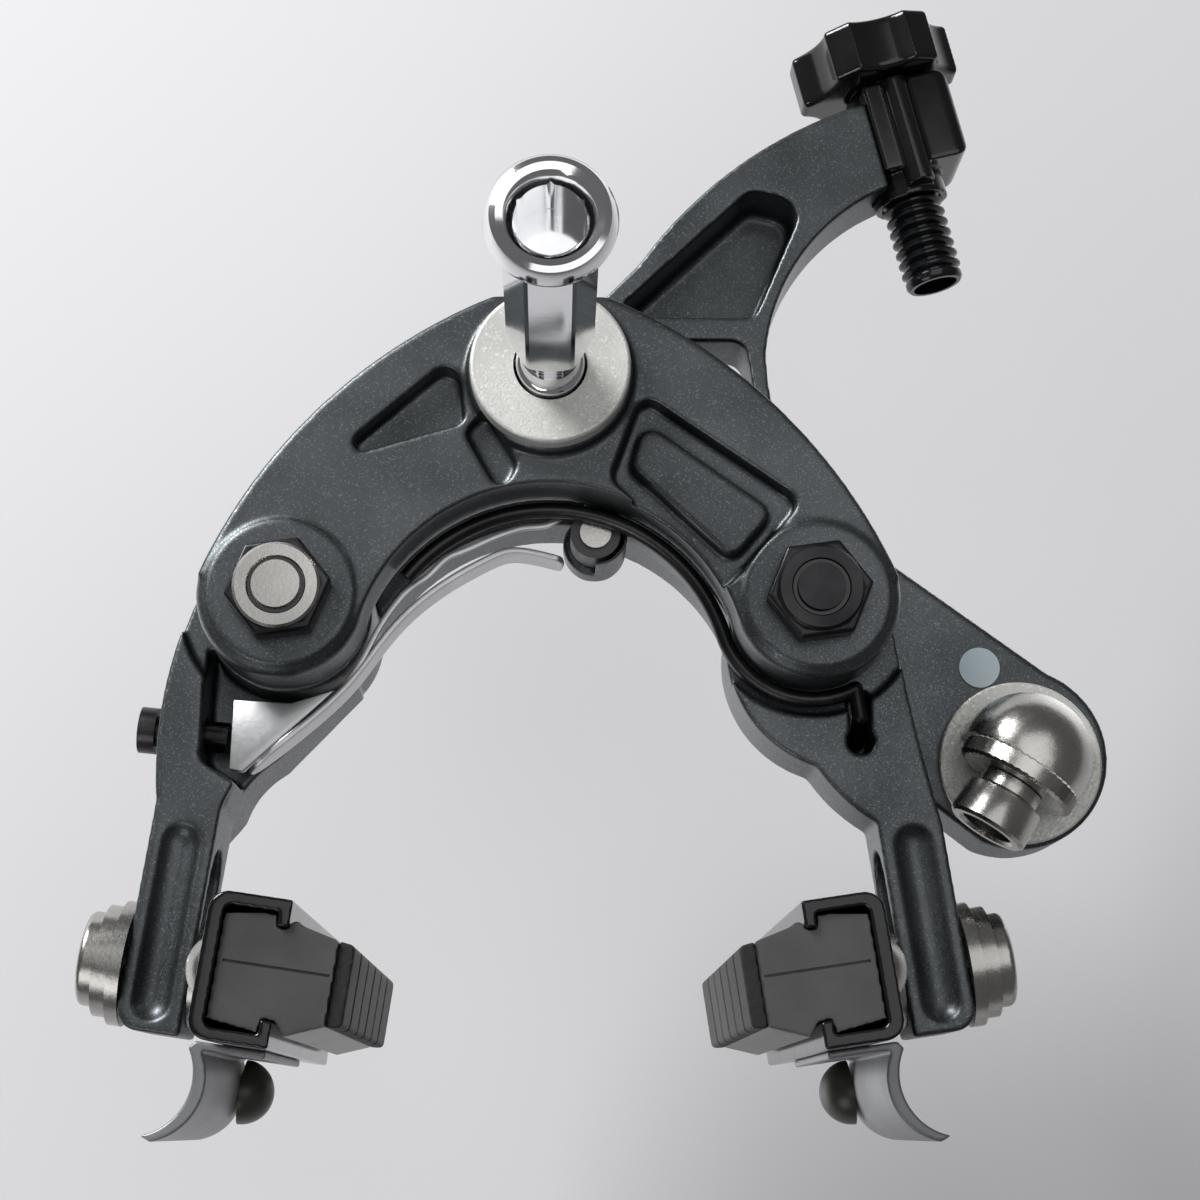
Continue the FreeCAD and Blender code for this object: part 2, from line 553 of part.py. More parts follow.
def pad_carrier(side):
    """Moulded backing of the pad: keyed into the channel, then tapering to the friction block."""
    section = outline(
        (1.35, -4.4),
        (1.35, 4.4), (5.8, 5.0), (5.8, 3.8), (7.0, 3.8), ((7.4, 4.6), (7.9, 4.3)), (11.2, 3.5),
        (11.2, -3.7), (7.9, -5.0), (7.0, -3.8), (5.8, -3.8), (5.8, -5.0),
    )
    body = plate(section, PAD_REAR_Y + 0.6, PAD_FRONT_Y - 1.4)
    return in_shoe_frame(cut(body, rod(SHOE_BOLT_R + 2.2, Vector(1, SHOE_Y, 0), Vector(3.2, SHOE_Y, 0)),
                             rod(1.5, Vector(1, FIXING_Y, 0), Vector(4, FIXING_Y, 0))), side)


def friction_block(side):
    """Rubber block with water grooves across its face."""
    section = rounded([(11.2, -3.7, 0.01), (11.2, 3.5, 0.01), (12.6, 3.3, 0.5), (12.6, -3.6, 0.5)])
    body = plate(section, PAD_REAR_Y + 1.0, PAD_FRONT_Y - 1.8)
    grooves = [box(11.9, 13, y, y + 0.9, -5, 5) for y in (-4.0, 4.5, 13.0, 21.5, 30.0)]
    return in_shoe_frame(cut(body, *grooves), side)


def shoe_bolt(side):
    """Socket head bolt through the leg and the washers into the holder."""
    shank = rod(SHOE_BOLT_R, Vector(-13.0, SHOE_Y, 0), Vector(2.0, SHOE_Y, 0))
    foot = rod(4.6, Vector(1.35, SHOE_Y, 0), Vector(2.8, SHOE_Y, 0))
    head = rod(4.4, Vector(-14.4, SHOE_Y, 0), Vector(-12.7, SHOE_Y, 0))
    head = head.makeFillet(0.6, [e for e in head.Edges if e.BoundBox.XMax < -14.3])
    socket = hexagon(5.0, Vector(-15, SHOE_Y, 0), Vector(1, 0, 0), 3.4)
    return in_shoe_frame(cut(fused(shank, foot, head), socket), side)


def washer_ring(radius, u0, u1):
    start = Vector(u0, SHOE_Y, 0)
    end = Vector(u1, SHOE_Y, 0)
    return cut(rod(radius, start, end), rod(SHOE_BOLT_R + 0.02, Vector(u0 - 1, SHOE_Y, 0), Vector(u1 + 1, SHOE_Y, 0)))


def inner_washers(side):
    """Dished and domed washer pair between the leg and the holder."""
    return [in_shoe_frame(washer_ring(5.3, -1.7, -0.02), side),
            in_shoe_frame(washer_ring(5.0, 0.05 - LEG_INNER, -1.75), side)]


def outer_washers(side):
    """Domed and dished washer pair under the bolt's head."""
    return [in_shoe_frame(washer_ring(5.8, -11.2, -LEG_OUTER - 0.1), side),
            in_shoe_frame(washer_ring(5.2, -12.7, -11.25), side)]


def fixing_screw(side):
    """Domed screw near the holder's rear end that locks the pad in."""
    ball = Part.makeSphere(3.2, Vector(1.2, FIXING_Y, 0))
    dome = ball.common(box(-4, 0, FIXING_Y - 5, FIXING_Y + 5, -5, 5))
    shank = rod(1.45, Vector(-0.5, FIXING_Y, 0), Vector(3.6, FIXING_Y, 0))
    return in_shoe_frame(fused(dome, shank), side)


def wheel_guide(side):
    """Thin fin under the holder that flares outwards to lead the wheel in between the pads."""
    section = outline(
        (0.2, -6.22),
        (0.2, -7.2), ((0.9, -10.6), (-2.9, -15.2)), (-3.9, -14.8), ((-0.3, -10.4), (-1.1, -6.9)),
        (-0.6, -6.22),
    )
    body = plate(section, PAD_REAR_Y + 10.5, PAD_FRONT_Y - 14.0)
    flange = box(-0.6, 5.6, PAD_REAR_Y + 10.5, PAD_FRONT_Y - 14.0, -6.9, -6.22)
    corner = Part.makeBox(20, 30, 20, Vector(-10, 0, -20))
    corner.rotate(Vector(0, 0, 0), Vector(1, 0, 0), 30)
    corner.translate(Vector(0, PAD_FRONT_Y - 16.5, -9.0))
    return in_shoe_frame(cut(fused(body, flange), corner), side)


def guide_button(side):
    """Rubber bumper on the fin's inner face."""
    ball = Part.makeSphere(3.1, Vector(0.9, PAD_FRONT_Y - 17.0, -10.0))
    return in_shoe_frame(ball.common(box(0.95, 6, 0, 60, -14, -6.95)), side)


# ---- write every piece -------------------------------------------------------------
os.makedirs("parts", exist_ok=True)

save("bridge", bridge())
save("mounting_washer", mounting_washer())
save("mounting_bolt", mounting_bolt())
save("recessed_nut", recessed_nut())
save("left_pivot_bolt", pivot_bolt(-PIVOT_X, BRANCH_FRONT + 0.1, BRANCH_FRONT + 3.2))
save("right_pivot_bolt", pivot_bolt(PIVOT_X, ARM_FRONT - 2.3, ARM_FRONT))
save("left_pivot_nut", pivot_nut(-PIVOT_X))
save("right_pivot_nut", pivot_nut(PIVOT_X))
save("left_thrust_washer", thrust_washer(-PIVOT_X, BRIDGE_FRONT, ARM_BACK - 0.02))
save("right_thrust_washer", thrust_washer(PIVOT_X, BRIDGE_FRONT, ARM_BACK - 0.02))
save("return_spring", return_spring())

save("left_arm", left_arm())
save("left_bush", pivot_bush(-PIVOT_X, ARM_BACK, BRANCH_FRONT))
save("centering_screw", centering_screw())
save("centering_lever", centering_lever())
save("anchor_disc", anchor_disc())
save("position_mark", cyl(2.0, BRANCH_BACK - 0.25, BRANCH_BACK, 42.4, -24.8))

save("right_arm", right_arm())
save("right_bush", pivot_bush(PIVOT_X, ARM_BACK, ARM_FRONT - 2.4))
save("roller_pin", roller_pin())
save("roller", roller())
save("adjuster_collar", adjuster_collar())
save("adjuster_knob", adjuster_knob())
save("adjuster_bolt", adjuster_bolt())

save("quick_release_hub", quick_release_hub())
save("quick_release_lever", quick_release_lever())
save("retaining_ring", retaining_ring())
save("clamp_washer", clamp_washer())
save("clamp_bolt", clamp_bolt())

for side, name in ((LEFT, "left"), (RIGHT, "right")):
    save(name + "_shoe_holder", shoe_holder(side))
    save(name + "_pad_carrier", pad_carrier(side))
    save(name + "_friction_block", friction_block(side))
    save(name + "_shoe_bolt", shoe_bolt(side))
    save(name + "_inner_washers", *inner_washers(side))
    save(name + "_outer_washers", *outer_washers(side))
    save(name + "_fixing_screw", fixing_screw(side))
    save(name + "_wheel_guide", wheel_guide(side))
    save(name + "_guide_button", guide_button(side))
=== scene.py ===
import json
import math
import bpy
from mathutils import Matrix, Vector


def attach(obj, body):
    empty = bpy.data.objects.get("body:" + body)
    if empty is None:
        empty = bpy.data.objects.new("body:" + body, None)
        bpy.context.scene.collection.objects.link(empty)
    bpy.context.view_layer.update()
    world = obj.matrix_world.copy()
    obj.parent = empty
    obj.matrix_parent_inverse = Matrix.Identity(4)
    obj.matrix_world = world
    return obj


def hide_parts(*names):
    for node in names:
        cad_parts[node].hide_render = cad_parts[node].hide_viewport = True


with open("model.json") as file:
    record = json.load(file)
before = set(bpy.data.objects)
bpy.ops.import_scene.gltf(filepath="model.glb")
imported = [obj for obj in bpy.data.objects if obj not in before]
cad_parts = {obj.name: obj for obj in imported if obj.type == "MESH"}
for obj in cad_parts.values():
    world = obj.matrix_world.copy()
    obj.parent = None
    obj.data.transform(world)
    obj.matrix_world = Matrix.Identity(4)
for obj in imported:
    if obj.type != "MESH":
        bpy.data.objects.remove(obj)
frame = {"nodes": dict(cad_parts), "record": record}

MM = 0.001
HEX = 2 / math.sqrt(3)      # corner radius of a hexagon for each millimetre of half its flats
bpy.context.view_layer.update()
bodies_of = {node: body
             for body, nodes in frame["record"]["behaviour"]["bodies"].items() for node in nodes}
slot_of = {part["node"]: part["material_slot"] for part in frame["record"]["subparts"]}


# ---- materials -----------------------------------------------------------------
def new_material(name):
    material = bpy.data.materials.new(name)
    material.use_nodes = True
    tree = material.node_tree
    return material, tree.nodes, tree.links, tree.nodes["Principled BSDF"]


def noise(nodes, links, scale, detail):
    """Noise on the object's own coordinates."""
    where = nodes.new("ShaderNodeTexCoord")
    texture = nodes.new("ShaderNodeTexNoise")
    texture.inputs["Scale"].default_value = scale
    texture.inputs["Detail"].default_value = detail
    links.new(where.outputs["Object"], texture.inputs["Vector"])
    return texture.outputs["Fac"]


def ramp(nodes, links, source, low, high):
    """Colour that runs from low to high over the middle of the source's range."""
    node = nodes.new("ShaderNodeValToRGB")
    for element, position, colour in zip(node.color_ramp.elements, (0.35, 0.65), (low, high)):
        element.position = position
        element.color = (*colour, 1)
    links.new(source, node.inputs["Fac"])
    return node.outputs["Color"]


def spread(nodes, links, source, low, high):
    """Number that runs from low to high as the source runs from 0 to 1."""
    node = nodes.new("ShaderNodeMapRange")
    node.inputs["To Min"].default_value = low
    node.inputs["To Max"].default_value = high
    links.new(source, node.inputs["Value"])
    return node.outputs["Result"]


def bump(nodes, links, source, strength, distance, shader):
    node = nodes.new("ShaderNodeBump")
    node.inputs["Strength"].default_value = strength
    node.inputs["Distance"].default_value = distance
    links.new(source, node.inputs["Height"])
    links.new(node.outputs["Normal"], shader.inputs["Normal"])


def finish(name, low, high, metallic, rough, grain, relief):
    """A finish with clouded colour, uneven gloss and a fine grain."""
    material, nodes, links, shader = new_material(name)
    cloud = noise(nodes, links, 90.0, 6.0)
    fine = noise(nodes, links, grain, 3.0)
    links.new(ramp(nodes, links, cloud, low, high), shader.inputs["Base Color"])
    links.new(spread(nodes, links, fine, *rough), shader.inputs["Roughness"])
    bump(nodes, links, fine, relief, 0.00012, shader)
    shader.inputs["Metallic"].default_value = metallic
    return material


def glint_painted_finish(name, low, high, metallic, rough, grain, relief):
    """A finish with painted glints: bright spots in its colour stand in for light caught by
    blasted and anodised aluminium.
    """
    material, nodes, links, shader = new_material(name)
    where = nodes.new("ShaderNodeTexCoord")
    glint_cells = nodes.new("ShaderNodeTexVoronoi")
    glint_cells.inputs["Scale"].default_value = grain
    links.new(where.outputs["Object"], glint_cells.inputs["Vector"])
    glint_cell_colour = nodes.new("ShaderNodeSeparateColor")
    links.new(glint_cells.outputs["Color"], glint_cell_colour.inputs["Color"])
    # painted glints: the brightest cells lift the colour toward a pale copy of high
    glint = nodes.new("ShaderNodeMapRange")
    glint.inputs["From Min"].default_value = 0.86
    glint.inputs["From Max"].default_value = 1.0
    glint.inputs["To Max"].default_value = 0.40
    links.new(glint_cell_colour.outputs["Red"], glint.inputs["Value"])
    mix = nodes.new("ShaderNodeMix")
    mix.data_type = "RGBA"
    mix.inputs["B"].default_value = tuple(min(1.0, c * 3.2) for c in high) + (1,)
    links.new(glint.outputs["Result"], mix.inputs["Factor"])
    links.new(ramp(nodes, links, noise(nodes, links, 120.0, 8.0), low, high), mix.inputs["A"])
    links.new(mix.outputs["Result"], shader.inputs["Base Color"])
    gloss = spread(nodes, links, glint_cell_colour.outputs["Green"], rough * 0.8, rough * 1.25)
    links.new(gloss, shader.inputs["Roughness"])
    bump(nodes, links, noise(nodes, links, grain * 0.8, 2.0), relief, 0.00006, shader)
    shader.inputs["Metallic"].default_value = metallic
    return material


FINISHES = {
    # painted glints: bright spots in this colour stand in for caught light
    "forged_arms": glint_painted_finish(
        "blasted_black_anodising_painted_glints", (0.058, 0.064, 0.067), (0.084, 0.092, 0.096),
        metallic=0.9, rough=0.38, grain=9000.0, relief=0.10),
    "bright_steel": finish(
        "polished_steel", (0.72, 0.73, 0.75), (0.86, 0.86, 0.87),
        metallic=1.0, rough=(0.07, 0.13), grain=900.0, relief=0.03),
    # painted glints: bright spots in this colour stand in for caught light
    "zinc_washer": glint_painted_finish(
        "blasted_zinc_painted_glints", (0.50, 0.50, 0.475), (0.66, 0.66, 0.63),
        metallic=0.5, rough=0.50, grain=5200.0, relief=0.5),
    "satin_steel": finish(
        "satin_steel", (0.34, 0.337, 0.32), (0.50, 0.49, 0.465),
        metallic=1.0, rough=(0.20, 0.33), grain=2500.0, relief=0.10),
    "dark_steel": finish(
        "blackened_steel", (0.018, 0.018, 0.02), (0.05, 0.05, 0.052),
        metallic=0.9, rough=(0.24, 0.40), grain=2500.0, relief=0.12),
    "pressed_steel": finish(
        "pressed_plate", (0.50, 0.505, 0.51), (0.64, 0.645, 0.65),
        metallic=0.85, rough=(0.30, 0.45), grain=1800.0, relief=0.08),
    "bush_plastic": finish(
        "bearing_plastic", (0.05, 0.05, 0.052), (0.08, 0.08, 0.082),
        metallic=0.0, rough=(0.30, 0.5), grain=1500.0, relief=0.06),
    "mark_paint": finish(
        "pale_mark_paint", (0.33, 0.40, 0.43), (0.38, 0.45, 0.48),
        metallic=0.0, rough=(0.35, 0.5), grain=1400.0, relief=0.05),
    "gloss_black": finish(
        "gloss_black_moulding", (0.003, 0.003, 0.0035), (0.006, 0.006, 0.0065),
        metallic=0.0, rough=(0.10, 0.18), grain=600.0, relief=0.02),
    "black_metal": finish(
        "gloss_black_anodising", (0.004, 0.0045, 0.005), (0.009, 0.0095, 0.011),
        metallic=0.2, rough=(0.10, 0.20), grain=700.0, relief=0.03),
    "carrier_black": finish(
        "moulded_rubber_backing", (0.030, 0.030, 0.030), (0.055, 0.055, 0.054),
        metallic=0.0, rough=(0.28, 0.42), grain=1100.0, relief=0.16),
    "friction_rubber": finish(
        "brake_rubber", (0.006, 0.006, 0.0062), (0.014, 0.014, 0.0142),
        metallic=0.0, rough=(0.72, 0.92), grain=2600.0, relief=0.5),
    "guide_grey": finish(
        "satin_grey_guide", (0.17, 0.175, 0.18), (0.23, 0.235, 0.24),
        metallic=0.5, rough=(0.34, 0.46), grain=2400.0, relief=0.07),
    "button_rubber": finish(
        "dark_olive_rubber", (0.020, 0.019, 0.014), (0.034, 0.033, 0.026),
        metallic=0.0, rough=(0.28, 0.42), grain=900.0, relief=0.05),
}


def paint(piece, slot):
    piece.data.materials.clear()
    piece.data.materials.append(FINISHES[slot])


for node, cad_object in frame["nodes"].items():
    paint(cad_object, slot_of[node])


# ---- modelling helpers -----------------------------------------------------------
def deselect():
    if bpy.context.object and bpy.context.object.mode != "OBJECT":
        bpy.ops.object.mode_set(mode="OBJECT")
    bpy.ops.object.select_all(action="DESELECT")


def activate(piece):
    deselect()
    piece.select_set(True)
    bpy.context.view_layer.objects.active = piece


def apply_modifier(piece, kind, **settings):
    activate(piece)
    modifier = piece.modifiers.new(kind.lower(), kind)
    for setting, value in settings.items():
        setattr(modifier, setting, value)
    bpy.ops.object.modifier_apply(modifier=kind.lower())


def smooth_below(angle):
    """Shade the active piece smooth, apart from edges sharper than the angle in degrees."""
    bpy.ops.object.shade_smooth_by_angle(angle=math.radians(angle))


def stand(piece, base, direction):
    """Move the mesh so that its Z axis runs from base along direction."""
    turn = Vector(direction).to_track_quat("Z", "Y").to_matrix().to_4x4()
    piece.data.transform(Matrix.Translation(Vector(base)) @ turn)


def place(piece, node, slot=None):
    """Hand a finished piece over to the body and finish of the CAD node that it stands for."""
    slot = slot or slot_of[node]
    paint(piece, slot)
    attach(piece, bodies_of[node])
    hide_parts(node)
    return piece


def worn_edges(node, name, voxel, passes, keep):
    """The node's shape with rounded edges, as forging, moulding and tumbling leave them.
    keep is the share of faces kept."""
    piece = bpy.data.objects.new(name, frame["nodes"][node].data.copy())
    bpy.context.scene.collection.objects.link(piece)
    activate(piece)
    bpy.ops.object.mode_set(mode="EDIT")
    bpy.ops.mesh.select_all(action="SELECT")
    bpy.ops.mesh.remove_doubles(threshold=0.000001)
    apply_modifier(piece, "REMESH", mode="VOXEL", voxel_size=voxel * MM)
    apply_modifier(piece, "SMOOTH", factor=0.5, iterations=passes)
    apply_modifier(piece, "DECIMATE", ratio=keep)
    bpy.ops.object.shade_smooth()
    return place(piece, node)


def draw(name, points):
    """Chain of edges through (x, y, z) millimetres, left selected in edit mode."""
    deselect()
    bpy.ops.mesh.primitive_plane_add(size=MM, location=[along * MM for along in points[0]])
    piece = bpy.context.object
    piece.name = name
    bpy.ops.object.transform_apply(location=True, rotation=True, scale=True)
    bpy.ops.object.mode_set(mode="EDIT")
    bpy.ops.mesh.select_all(action="SELECT")
    bpy.ops.mesh.merge(type="CENTER")
    for start, end in zip(points, points[1:]):
        step = tuple((b - a) * MM for a, b in zip(start, end))
        bpy.ops.mesh.extrude_region_move(TRANSFORM_OT_translate={"value": step})
    bpy.ops.mesh.select_all(action="SELECT")
    return piece


def lathe(name, profile, base, direction, steps=96, sharp=40.0):
    """Turned piece. The profile is a closed run of (radius, height) millimetres from base."""
    piece = draw(name, [(radius, 0, height) for radius, height in profile])
    bpy.ops.mesh.spin(steps=steps, angle=math.tau, center=(0, 0, 0), axis=(0, 0, 1))
    bpy.ops.mesh.select_all(action="SELECT")
    bpy.ops.mesh.remove_doubles(threshold=0.000002)
    bpy.ops.mesh.select_all(action="SELECT")
    bpy.ops.mesh.normals_make_consistent(inside=False)
    bpy.ops.object.mode_set(mode="OBJECT")
    stand(piece, base, direction)
    smooth_below(sharp)
    return piece


def threads(radius, depth, start, end, pitch):
    """Outline of a thread cut into a shank: crests at radius, roots depth below it."""
    turns = max(1, round((end - start) / pitch))
    step = (end - start) / turns
    root = radius - depth
    points = []
    for turn in range(turns):
        foot = start + turn * step
        points += [(root, foot + 0.08 * step), (radius, foot + 0.42 * step),
                   (radius, foot + 0.58 * step), (root, foot + 0.92 * step)]
    return points


def prism(name, sides, radius, base, direction, depth):
    """Prism centred on base. It is a nut's blank, a wrench socket or a cross hole."""
    deselect()
    bpy.ops.mesh.primitive_cylinder_add(vertices=sides, radius=radius * MM, depth=depth * MM)
    piece = bpy.context.object
    piece.name = name
    stand(piece, base, direction)
    return piece


def block(size, spot):
    """Box of (x, y, z) millimetres, moved by the matrix spot."""
    deselect()
    bpy.ops.mesh.primitive_cube_add(size=MM)
    piece = bpy.context.object
    piece.data.transform(spot @ Matrix.Diagonal((*size, 1)))
    return piece


def carve(piece, tool):
    """Cut the tool's shape out of the piece and throw the tool away."""
    apply_modifier(piece, "BOOLEAN", operation="DIFFERENCE", solver="EXACT", object=tool)
    bpy.data.objects.remove(tool)


# ---- camera, backdrop and lights -------------------------------------------------
def aim(thing, target):
    line = Vector(target) - thing.location
    thing.rotation_euler = line.to_track_quat("-Z", "Y").to_euler()


def one_sided_paint(name, colour):
    """Matt paint that is clear from behind and lets the lights through."""
    material, nodes, links, shader = new_material(name)
    nodes.remove(shader)
    diffuse = nodes.new("ShaderNodeBsdfDiffuse")
    diffuse.inputs["Color"].default_value = (*colour, 1)
    clear = nodes.new("ShaderNodeBsdfTransparent")
    facing = nodes.new("ShaderNodeNewGeometry")
    path = nodes.new("ShaderNodeLightPath")
    either = nodes.new("ShaderNodeMath")
    either.operation = "MAXIMUM"
    links.new(facing.outputs["Backfacing"], either.inputs[0])
    links.new(path.outputs["Is Shadow Ray"], either.inputs[1])
    mix = nodes.new("ShaderNodeMixShader")
    links.new(either.outputs["Value"], mix.inputs["Fac"])
    links.new(diffuse.outputs["BSDF"], mix.inputs[1])
    links.new(clear.outputs["BSDF"], mix.inputs[2])
    links.new(mix.outputs["Shader"], nodes["Material Output"].inputs["Surface"])
    return material


CAMERA_SPOT = (0.0003, -0.215, -0.069)      # below the object and close to it
CAMERA_TARGET = (0.0046, 0.0, -0.02235)
BACKDROP_Y = 0.085
LIGHT_TARGET = (0.0, 0.0, -0.02)
LIGHTS = (      # name, spot in metres, side in metres, watts
    ("key_light", (-0.42, -0.36, 0.46), 0.30, 7.4),
    ("front_fill", (0.10, -0.60, 0.02), 0.50, 0.9),
    ("low_fill", (-0.25, -0.35, -0.45), 0.30, 0.6),
    ("far_light", (0.35, 0.45, 0.35), 0.40, 5.0),
    ("far_fill", (-0.45, 0.40, -0.10), 0.40, 3.0),
)

camera_data = bpy.data.cameras.new("front_camera")
camera_data.lens = 72.8
camera_data.sensor_width = 36.0
camera_data.clip_start = 0.01
camera = bpy.data.objects.new("front_camera", camera_data)
bpy.context.scene.collection.objects.link(camera)
camera.location = CAMERA_SPOT
aim(camera, CAMERA_TARGET)
bpy.context.scene.camera = camera
bpy.context.scene.view_settings.view_transform = "Standard"

backdrop_paint = one_sided_paint("pale_backdrop", (0.68, 0.675, 0.69))
deselect()
bpy.ops.mesh.primitive_plane_add(
    size=2.4, location=(0, BACKDROP_Y, 0), rotation=(math.radians(90), 0, 0))
backdrop = bpy.context.object
backdrop.name = "backdrop"
bpy.ops.object.transform_apply(location=True, rotation=True, scale=True)
backdrop.data.materials.append(backdrop_paint)

for name, spot, size, watts in LIGHTS:
    light_data = bpy.data.lights.new(name, "AREA")
    light_data.size = size
    light_data.energy = watts
    light = bpy.data.objects.new(name, light_data)
    bpy.context.scene.collection.objects.link(light)
    light.location = spot
    aim(light, LIGHT_TARGET)

# The surroundings are pale where they are seen, and dimmer where they only light the object.
world = bpy.data.worlds.new("studio")
bpy.context.scene.world = world
world.use_nodes = True
nodes = world.node_tree.nodes
links = world.node_tree.links
nodes["Background"].inputs["Color"].default_value = (0.56, 0.555, 0.57, 1)
path = nodes.new("ShaderNodeLightPath")
glow = spread(nodes, links, path.outputs["Is Camera Ray"], 0.24, 1.0)
links.new(glow, nodes["Background"].inputs["Strength"])


# ---- forged parts with rounded edges ---------------------------------------------
worn_edges("bridge", "bridge_forging", voxel=0.22, passes=15, keep=0.55)
worn_edges("left_arm", "left_arm_forging", voxel=0.22, passes=13, keep=0.38)
worn_edges("right_arm", "right_arm_forging", voxel=0.22, passes=13, keep=0.50)


# ---- adjuster barrel and mounting bolt --------------------------------------------
INWARDS = (0, 1, 0)      # along the mounting bolt, away from the fork
KNOB_SEAT = (0.0334, 0.0150, 0.0336)
ADJUSTER_TILT = math.radians(14.0)
adjuster_up = (-math.sin(ADJUSTER_TILT), 0.0, math.cos(ADJUSTER_TILT))

barrel_profile = (
    [(2.2, -21.0), (2.6, -21.0), (2.85, -20.7), (2.85, -20.2), (2.5, -20.0)]
    + threads(3.0, 0.5, -19.9, -12.0, 1.13)
    + [(2.98, -11.9), (2.98, 3.4), (2.8, 3.6), (2.55, 3.6), (2.55, -4.4), (2.2, -4.4),
       (2.2, -21.0)])
barrel = lathe("adjuster_barrel", barrel_profile, KNOB_SEAT, adjuster_up, steps=64, sharp=50.0)
place(barrel, "adjuster_bolt")

mounting_profile = (
    [(0.0, -17.0), (1.6, -17.0), (2.75, -15.8)]
    + threads(2.95, 0.32, -15.6, -4.8, 0.9)
    + [(2.80, -4.7), (2.80, -0.9), (3.1, -0.7), (3.2, -0.4), (3.2, 0.6), (2.95, 0.7),
       (2.95, 10.4), (4.6, 10.4), (5.0, 10.8), (5.0, 14.8), (4.4, 15.4), (0.0, 15.4),
       (0.0, -17.0)])
mounting = lathe(
    "mounting_bolt_turned", mounting_profile, (0, 0, 0), INWARDS, steps=64, sharp=50.0)
carve(mounting, prism("bolt_socket", 6, 2.5 * HEX, (0, 0.0146, 0), INWARDS, 4.0))
place(mounting, "mounting_bolt")


# ---- cable clamp and its hub -------------------------------------------------------
CLAMP_CENTRE = Vector((0.046, 0.0124, -0.0343))
CLAMP_TURN = math.radians(237.0)
HUB_FRONT = (0.046, 0, -0.0343)
TEETH = 88
TOOTH_ROOT = 0.935      # root radius as a share of the crest radius
clamp_way = Vector((math.cos(CLAMP_TURN), 0.0, math.sin(CLAMP_TURN)))

knurl = lathe(
    "knurled_clamp_washer",
    [(2.5, 1.7), (5.5, 1.7), (5.9, 1.95), (5.9, 3.35), (5.5, 3.6), (2.5, 3.6), (2.5, 1.7)],
    (0, 0, 0), (0, 0, 1), steps=TEETH, sharp=12.0)
for vertex in knurl.data.vertices:
    out = math.hypot(vertex.co.x, vertex.co.y)
    tooth = round(math.atan2(vertex.co.y, vertex.co.x) / (math.tau / TEETH))
    if out > 5.3 * MM and tooth % 2 == 1:
        vertex.co.x *= TOOTH_ROOT
        vertex.co.y *= TOOTH_ROOT
stand(knurl, CLAMP_CENTRE, clamp_way)
place(knurl, "clamp_washer")

clamp = lathe(
    "clamp_bolt_turned",
    [(0.0, -1.8), (2.45, -1.8), (2.45, 3.62), (3.0, 3.7), (3.0, 4.9), (3.3, 5.1), (3.75, 5.2),
     (3.9, 5.4), (3.9, 8.5), (3.6, 8.8), (2.9, 8.8), (2.6, 8.5), (2.6, 6.4), (0.0, 6.4),
     (0.0, -1.8)],
    CLAMP_CENTRE, clamp_way)
place(clamp, "clamp_bolt", "satin_steel")

hub = lathe(
    "release_hub_dome",
    [(0.0, 9.4), (1.6, 9.5), (3.0, 9.95), (4.2, 10.7), (5.1, 11.7), (5.8, 13.0), (6.2, 14.5),
     (6.3, 16.0), (6.3, 18.6), (2.95, 18.6), (2.95, 31.4), (0.0, 31.4), (0.0, 9.4)],
    HUB_FRONT, INWARDS, steps=128, sharp=50.0)
flat = block((30, 30, 30), Matrix.Translation((0, 0, 15 * MM)))
stand(flat, Vector((0.046, 0.0036, -0.0343)) + clamp_way * 1.2 * MM, clamp_way)
carve(hub, flat)
bore_centre = CLAMP_CENTRE + clamp_way * 5.0 * MM
carve(hub, prism("clamp_bore", 64, 2.5, bore_centre, clamp_way, 13.8))
place(hub, "quick_release_hub")


# ---- pivot nuts: hexagons with a turned face and a polished bolt end ----------------
PIVOT_X = 24.8 * MM
PIVOT_Z = -21.0 * MM
NUT_TURN = math.radians(22)


def pivot_hardware(side, x, ring_finish):
    nut_centre = Vector((x, 1.8 * MM, PIVOT_Z))
    pivot_end = (x, 0, PIVOT_Z)
    nut = prism(side + "_lock_nut", 6, 4.3 * HEX, nut_centre, INWARDS, 2.4)
    nut.data.transform(Matrix.Translation(nut_centre) @ Matrix.Rotation(NUT_TURN, 4, "Y")
                       @ Matrix.Translation(-nut_centre))
    apply_modifier(nut, "BEVEL", width=0.3 * MM, segments=3, limit_method="ANGLE",
                   angle_limit=math.radians(40))
    smooth_below(35)
    carve(nut, prism(side + "_nut_bore", 64, 2.96, nut_centre, INWARDS, 6.0))
    place(nut, side + "_pivot_nut", "dark_steel")
    ring = lathe(
        side + "_nut_ring",
        [(2.62, 0.75), (2.62, 0.1), (2.72, -0.02), (3.75, -0.02), (3.98, 0.2), (3.98, 0.75),
         (2.62, 0.75)],
        pivot_end, INWARDS)
    seal = lathe(
        side + "_nut_seal",
        [(2.24, 0.5), (2.24, 0.15), (2.6, 0.15), (2.6, 0.5), (2.24, 0.5)],
        pivot_end, INWARDS, steps=64)
    for piece, slot in ((ring, ring_finish), (seal, "gloss_black")):
        paint(piece, slot)
        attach(piece, "back_plate")


pivot_hardware("left", -PIVOT_X, "satin_steel")
pivot_hardware("right", PIVOT_X, "dark_steel")


